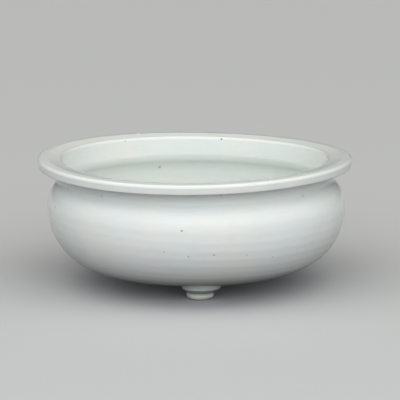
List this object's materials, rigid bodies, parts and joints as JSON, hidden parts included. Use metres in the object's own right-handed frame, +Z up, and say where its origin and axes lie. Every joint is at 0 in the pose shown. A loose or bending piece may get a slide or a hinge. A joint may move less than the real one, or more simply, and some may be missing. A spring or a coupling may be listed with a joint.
{
  "type": "tripod bowl",
  "caption": "Shallow globular bowl with a short neck, a wide flat everted rim and stepped feet, in white-glazed porcelain.",
  "frame": {"origin": "centre of the circle that the feet stand on, at the level of the table, on the axis of the bowl", "axes": "+Z up along the axis of the bowl, -Y towards the front foot, +X to the right of someone who faces that foot"},
  "size_m": [0.22, 0.22, 0.091],
  "materials": {
    "body_glaze": "gloss",
    "rim_glaze": "gloss",
    "foot_glaze": "gloss"
  },
  "bodies": {
    "root": {"bowl_lower": "body_glaze", "bowl_shoulder": "body_glaze", "rim_flange": "rim_glaze", "foot_front": "foot_glaze", "foot_back_right": "foot_glaze", "foot_back_left": "foot_glaze"}
  },
  "joints": []
}
